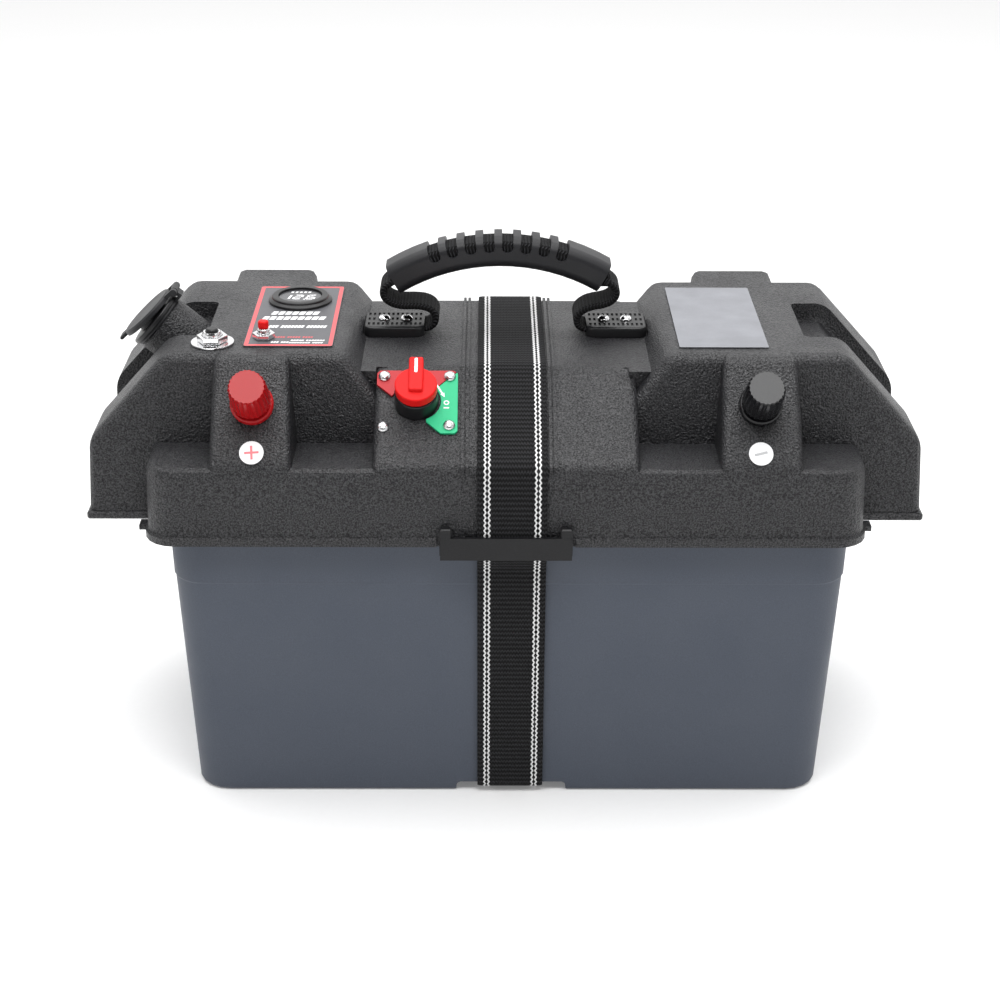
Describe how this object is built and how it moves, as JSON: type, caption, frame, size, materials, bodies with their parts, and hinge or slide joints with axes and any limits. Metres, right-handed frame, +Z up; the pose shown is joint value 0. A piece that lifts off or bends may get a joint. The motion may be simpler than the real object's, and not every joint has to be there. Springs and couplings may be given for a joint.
{
  "type": "portable battery box",
  "caption": "Portable leisure-battery box with a strapped lid, carry handle, isolator switch, power terminals, reset breakers, voltmeter and capped 12 V socket.",
  "frame": {"origin": "centre of the base, on the surface that the box stands on", "axes": "+X right along the length, -Y to the front with the terminals, +Z up"},
  "size_m": [0.4686, 0.237, 0.3076],
  "materials": {
    "black_plastic": "smooth black",
    "brass": "turned",
    "cable_red": "insulated lead",
    "chrome": "polished plating",
    "display": "dark window",
    "green_plastic": "satin green",
    "handle_rubber": "satin black rubber",
    "label_film": "printed film",
    "lid_plastic": "coarse moulded grain, black",
    "red_plastic": "glossy red",
    "steel": "bright",
    "tub_plastic": "fine moulded grain, slate grey",
    "webbing": "woven polyester webbing"
  },
  "bodies": {
    "tub": {"tub": "tub_plastic", "strap_lower": "webbing", "buckle_male": "black_plastic"},
    "lid": {"anchor_screw_left_1": "steel", "anchor_screw_left_2": "steel", "anchor_screw_right_1": "steel", "anchor_screw_right_2": "steel", "aux_breaker_body": "black_plastic", "aux_breaker_nut": "chrome", "buckle_female": "black_plastic", "cap_tether": "black_plastic", "handle_anchor_left": "black_plastic", "handle_anchor_right": "black_plastic", "info_label": "label_film", "isolator_base": "black_plastic", "isolator_body": "black_plastic", "isolator_plate_green": "green_plastic", "isolator_plate_red": "red_plastic", "isolator_screw_1": "steel", "isolator_screw_2": "steel", "isolator_screw_3": "steel", "isolator_screw_4": "steel", "lead_breaker": "cable_red", "lead_terminal": "cable_red", "lid_shell": "lid_plastic", "main_breaker_body": "black_plastic", "main_breaker_nut": "chrome", "main_breaker_washer": "chrome", "negative_collar": "black_plastic", "negative_nut": "steel", "negative_sticker": "black_plastic", "negative_stud": "brass", "positive_collar": "red_plastic", "positive_nut": "steel", "positive_sticker": "red_plastic", "positive_stud": "brass", "socket_body": "black_plastic", "socket_contact": "brass", "socket_nut": "black_plastic", "strap_guide_front": "lid_plastic", "strap_guide_rear": "lid_plastic", "strap_upper": "webbing", "voltmeter_bezel": "black_plastic", "voltmeter_display": "display", "voltmeter_label": "label_film", "voltmeter_ring": "black_plastic"},
    "handle": {"handle_grip": "handle_rubber", "handle_webbing": "webbing"},
    "isolator_lever": {"isolator_knob": "red_plastic"},
    "positive_clamp": {"positive_washer": "chrome"},
    "positive_cap": {"positive_knob": "red_plastic"},
    "negative_clamp": {"negative_washer": "chrome"},
    "negative_cap": {"negative_knob": "black_plastic"},
    "main_breaker_reset": {"main_breaker_button": "black_plastic"},
    "aux_breaker_reset": {"aux_breaker_button": "red_plastic"},
    "socket_cap": {"dust_cap": "black_plastic"}
  },
  "joints": [
    {"name": "lid_lift", "type": "slide", "parent": "tub", "child": "lid", "axis": [0, 0, 1], "range_m": [0, 0.2]},
    {"name": "handle_swing", "type": "hinge", "parent": "lid", "child": "handle", "pos_m": [0, 0.0105, 0.258], "axis": [1, 0, 0], "range_deg": [-50, 50], "deforming": ["handle_webbing"]},
    {"name": "isolator_turn", "type": "hinge", "parent": "lid", "child": "isolator_lever", "pos_m": [-0.0492, -0.07412, 0.23629], "axis": [0, -0.5156, 0.8568], "range_deg": [-90, 0]},
    {"name": "positive_clamp_rise", "type": "slide", "parent": "lid", "child": "positive_clamp", "axis": [0, -0.745, 0.667], "range_m": [0, 0.005]},
    {"name": "positive_cap_turn", "type": "hinge", "parent": "positive_clamp", "child": "positive_cap", "pos_m": [-0.1378, -0.08799, 0.24032], "axis": [0, -0.745, 0.667], "range_deg": [0, 1440]},
    {"name": "negative_clamp_rise", "type": "slide", "parent": "lid", "child": "negative_clamp", "axis": [0, -0.745, 0.667], "range_m": [0, 0.005]},
    {"name": "negative_cap_turn", "type": "hinge", "parent": "negative_clamp", "child": "negative_cap", "pos_m": [0.1378, -0.08799, 0.24032], "axis": [0, -0.745, 0.667], "range_deg": [0, 1440]},
    {"name": "main_breaker_press", "type": "slide", "parent": "lid", "child": "main_breaker_reset", "axis": [0, 0, 1], "range_m": [0, 0.0035]},
    {"name": "aux_breaker_press", "type": "slide", "parent": "lid", "child": "aux_breaker_reset", "axis": [0, 0, 1], "range_m": [0, 0.003]},
    {"name": "cap_hinge", "type": "hinge", "parent": "lid", "child": "socket_cap", "pos_m": [-0.18884, -0.00725, 0.27888], "axis": [0, 1, 0], "range_deg": [-5, 110]}
  ],
  "couplings": [
    {"joint": "positive_cap_turn", "follows": "positive_clamp_rise", "rad_per_m": 5026.5},
    {"joint": "negative_cap_turn", "follows": "negative_clamp_rise", "rad_per_m": 5026.5}
  ]
}
